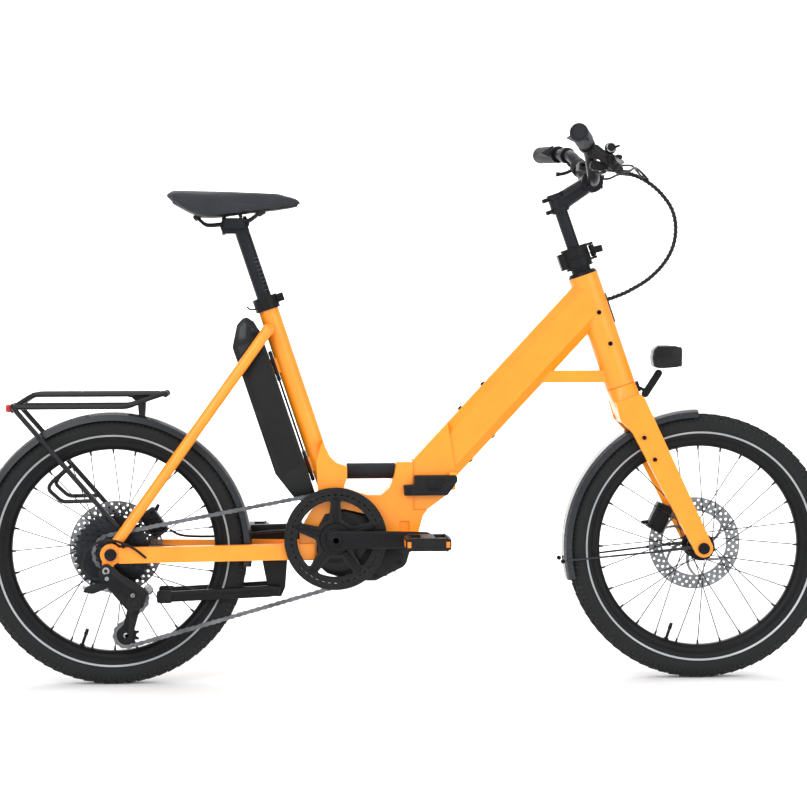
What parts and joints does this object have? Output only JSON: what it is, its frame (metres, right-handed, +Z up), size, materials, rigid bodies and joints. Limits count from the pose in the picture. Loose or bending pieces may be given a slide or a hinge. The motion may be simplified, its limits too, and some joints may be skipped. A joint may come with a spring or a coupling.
{
  "type": "folding electric bicycle",
  "caption": "Folding bicycle with a mid motor, hinged main beam, small wheels, disc brakes, mudguards and a rear carrier.",
  "frame": {"origin": "on the floor, midway along the bicycle's length and in its middle plane", "axes": "+X towards the front wheel, +Y towards the rider's left, +Z up"},
  "size_m": [1.652, 0.6174, 1.0495],
  "materials": {
    "orange_paint": "gloss clear coat",
    "black_metal": "satin black anodised",
    "graphite_metal": "satin graphite anodised",
    "tyre_rubber": "tread rubber with a pale stripe on the sidewall",
    "grip_rubber": "soft moulded rubber",
    "black_resin": "moulded, fine grain",
    "fender_plastic": "gloss dark grey",
    "saddle_cover": "matt grained cover over foam",
    "steel_bright": "brushed stainless steel",
    "steel_dark": "plated steel",
    "motor_shell": "satin black cast housing",
    "battery_case": "satin black case",
    "red_lens": "red lens"
  },
  "bodies": {
    "rear_frame": {"rear_frame": "orange_paint", "seat_stays": "orange_paint", "chain_stays": "orange_paint", "handle_grip": "grip_rubber", "motor": "motor_shell", "seat_clamp": "black_metal", "kickstand_bracket": "black_metal", "rear_fender": "fender_plastic", "luggage_rack": "black_metal", "tail_light": "red_lens", "rear_caliper": "black_metal", "rear_axle": "black_metal", "derailleur": "black_resin", "chain": "steel_bright", "rear_cables": "black_resin", "hinge_pin": "steel_dark"},
    "battery": {"battery": "battery_case"},
    "seat": {"seat_post": "graphite_metal", "saddle_rails": "graphite_metal", "saddle_shell": "black_resin", "saddle_pad": "saddle_cover"},
    "kickstand": {"kickstand": "black_metal"},
    "crankset": {"crankset": "black_metal", "chainring": "steel_dark", "chain_guard": "black_resin"},
    "pedal_right": {"pedal_right": "black_resin"},
    "pedal_left": {"pedal_left": "black_resin"},
    "cassette": {"cassette": "steel_bright"},
    "rear_wheel": {"rear_tyre": "tyre_rubber", "rear_rim": "black_metal", "rear_spokes": "steel_dark", "rear_hub": "black_metal", "rear_rotor": "steel_bright"},
    "derailleur_cage": {"derailleur_cage": "black_resin"},
    "guide_pulley": {"guide_pulley": "black_resin"},
    "tension_pulley": {"tension_pulley": "black_resin"},
    "front_frame": {"front_frame": "orange_paint", "headset": "black_metal"},
    "frame_latch": {"frame_latch": "black_resin"},
    "fork": {"fork": "orange_paint", "front_fender": "fender_plastic", "lamp_bracket": "black_metal", "front_caliper": "black_metal", "front_axle": "black_metal", "stem_clamp": "black_metal", "control_cables": "black_resin"},
    "headlamp": {"headlamp": "black_resin"},
    "stem_lever": {"stem_lever": "black_metal"},
    "front_wheel": {"front_tyre": "tyre_rubber", "front_rim": "black_metal", "front_spokes": "steel_dark", "front_hub": "black_metal", "front_rotor": "steel_bright"},
    "stem_mast": {"stem_mast": "graphite_metal"},
    "handlebar": {"handlebar": "graphite_metal", "grips": "grip_rubber", "controls": "black_resin"},
    "brake_lever_right": {"brake_lever_right": "black_metal"},
    "brake_lever_left": {"brake_lever_left": "black_metal"},
    "shift_lever": {"shift_lever": "black_resin"}
  },
  "joints": [
    {"name": "frame_fold", "type": "hinge", "parent": "rear_frame", "child": "front_frame", "pos_m": [0.012, 0.045, 0.379], "axis": [0, 0, 1], "range_deg": [0, 150]},
    {"name": "latch_swing", "type": "hinge", "parent": "front_frame", "child": "frame_latch", "pos_m": [0.089, -0.0448, 0.38], "axis": [0, 0, 1], "range_deg": [0, 100]},
    {"name": "steering", "type": "hinge", "parent": "front_frame", "child": "fork", "pos_m": [0.417, 0, 0.568], "axis": [0.3256, 0, -0.9455], "range_deg": [-60, 60], "deforming": ["control_cables"]},
    {"name": "stem_lever_swing", "type": "hinge", "parent": "fork", "child": "stem_lever", "pos_m": [0.36193, 0, 0.82931], "axis": [-0.3256, 0, 0.9455], "range_deg": [0, 80]},
    {"name": "stem_height", "type": "slide", "parent": "fork", "child": "stem_mast", "axis": [-0.3256, 0, 0.9455], "range_m": [-0.045, 0.065]},
    {"name": "stem_twist", "type": "hinge", "parent": "stem_mast", "child": "handlebar", "pos_m": [0.29556, 0, 0.92068], "axis": [-0.3256, 0, 0.9455], "range_deg": [-90, 0]},
    {"name": "brake_pull_right", "type": "hinge", "parent": "handlebar", "child": "brake_lever_right", "pos_m": [0.383, -0.1643, 0.993], "axis": [-0.6, 0, -0.8], "range_deg": [0, 14], "stiffness_Nm_per_rad": 1.5},
    {"name": "brake_pull_left", "type": "hinge", "parent": "handlebar", "child": "brake_lever_left", "pos_m": [0.383, 0.1643, 0.993], "axis": [0.6, 0, 0.8], "range_deg": [0, 14], "stiffness_Nm_per_rad": 1.5},
    {"name": "shift_push", "type": "hinge", "parent": "handlebar", "child": "shift_lever", "pos_m": [0.357, -0.119, 0.972], "axis": [0, 0, 1], "range_deg": [0, 20], "stiffness_Nm_per_rad": 0.5},
    {"name": "headlamp_tilt", "type": "hinge", "parent": "fork", "child": "headlamp", "pos_m": [0.491, 0, 0.592], "axis": [0, 1, 0], "range_deg": [-15, 20]},
    {"name": "front_wheel_spin", "type": "hinge", "parent": "fork", "child": "front_wheel", "pos_m": [0.569, 0, 0.257], "axis": [0, 1, 0], "continuous": true},
    {"name": "rear_wheel_spin", "type": "hinge", "parent": "rear_frame", "child": "rear_wheel", "pos_m": [-0.561, 0, 0.257], "axis": [0, 1, 0], "continuous": true},
    {"name": "seat_height", "type": "slide", "parent": "rear_frame", "child": "seat", "axis": [-0.3156, 0, 0.9489], "range_m": [-0.12, 0.1]},
    {"name": "crank_spin", "type": "hinge", "parent": "rear_frame", "child": "crankset", "pos_m": [-0.137, 0, 0.281], "axis": [0, 1, 0], "continuous": true},
    {"name": "cassette_spin", "type": "hinge", "parent": "rear_frame", "child": "cassette", "pos_m": [-0.561, 0, 0.257], "axis": [0, 1, 0], "continuous": true},
    {"name": "pedal_right_spin", "type": "hinge", "parent": "crankset", "child": "pedal_right", "pos_m": [0.033, -0.14, 0.281], "axis": [0, 1, 0], "continuous": true},
    {"name": "pedal_left_spin", "type": "hinge", "parent": "crankset", "child": "pedal_left", "pos_m": [-0.307, 0.14, 0.281], "axis": [0, 1, 0], "continuous": true},
    {"name": "cage_swing", "type": "hinge", "parent": "rear_frame", "child": "derailleur_cage", "pos_m": [-0.517, -0.052, 0.168], "axis": [0, 1, 0], "range_deg": [-6, 18], "stiffness_Nm_per_rad": 2, "deforming": ["chain"]},
    {"name": "guide_pulley_spin", "type": "hinge", "parent": "derailleur_cage", "child": "guide_pulley", "pos_m": [-0.517, -0.052, 0.168], "axis": [0, 1, 0], "continuous": true},
    {"name": "tension_pulley_spin", "type": "hinge", "parent": "derailleur_cage", "child": "tension_pulley", "pos_m": [-0.535, -0.052, 0.1], "axis": [0, 1, 0], "continuous": true},
    {"name": "kickstand_swing", "type": "hinge", "parent": "rear_frame", "child": "kickstand", "pos_m": [-0.251, 0, 0.18], "axis": [0, -1, 0], "range_deg": [0, 110]},
    {"name": "battery_tilt", "type": "hinge", "parent": "rear_frame", "child": "battery", "pos_m": [-0.195, 0, 0.352], "axis": [0, -1, 0], "range_deg": [0, 12]}
  ],
  "couplings": [
    {"joint": "cassette_spin", "follows": "crank_spin", "ratio": 2.5882},
    {"joint": "guide_pulley_spin", "follows": "crank_spin", "ratio": -4},
    {"joint": "tension_pulley_spin", "follows": "crank_spin", "ratio": 4}
  ]
}
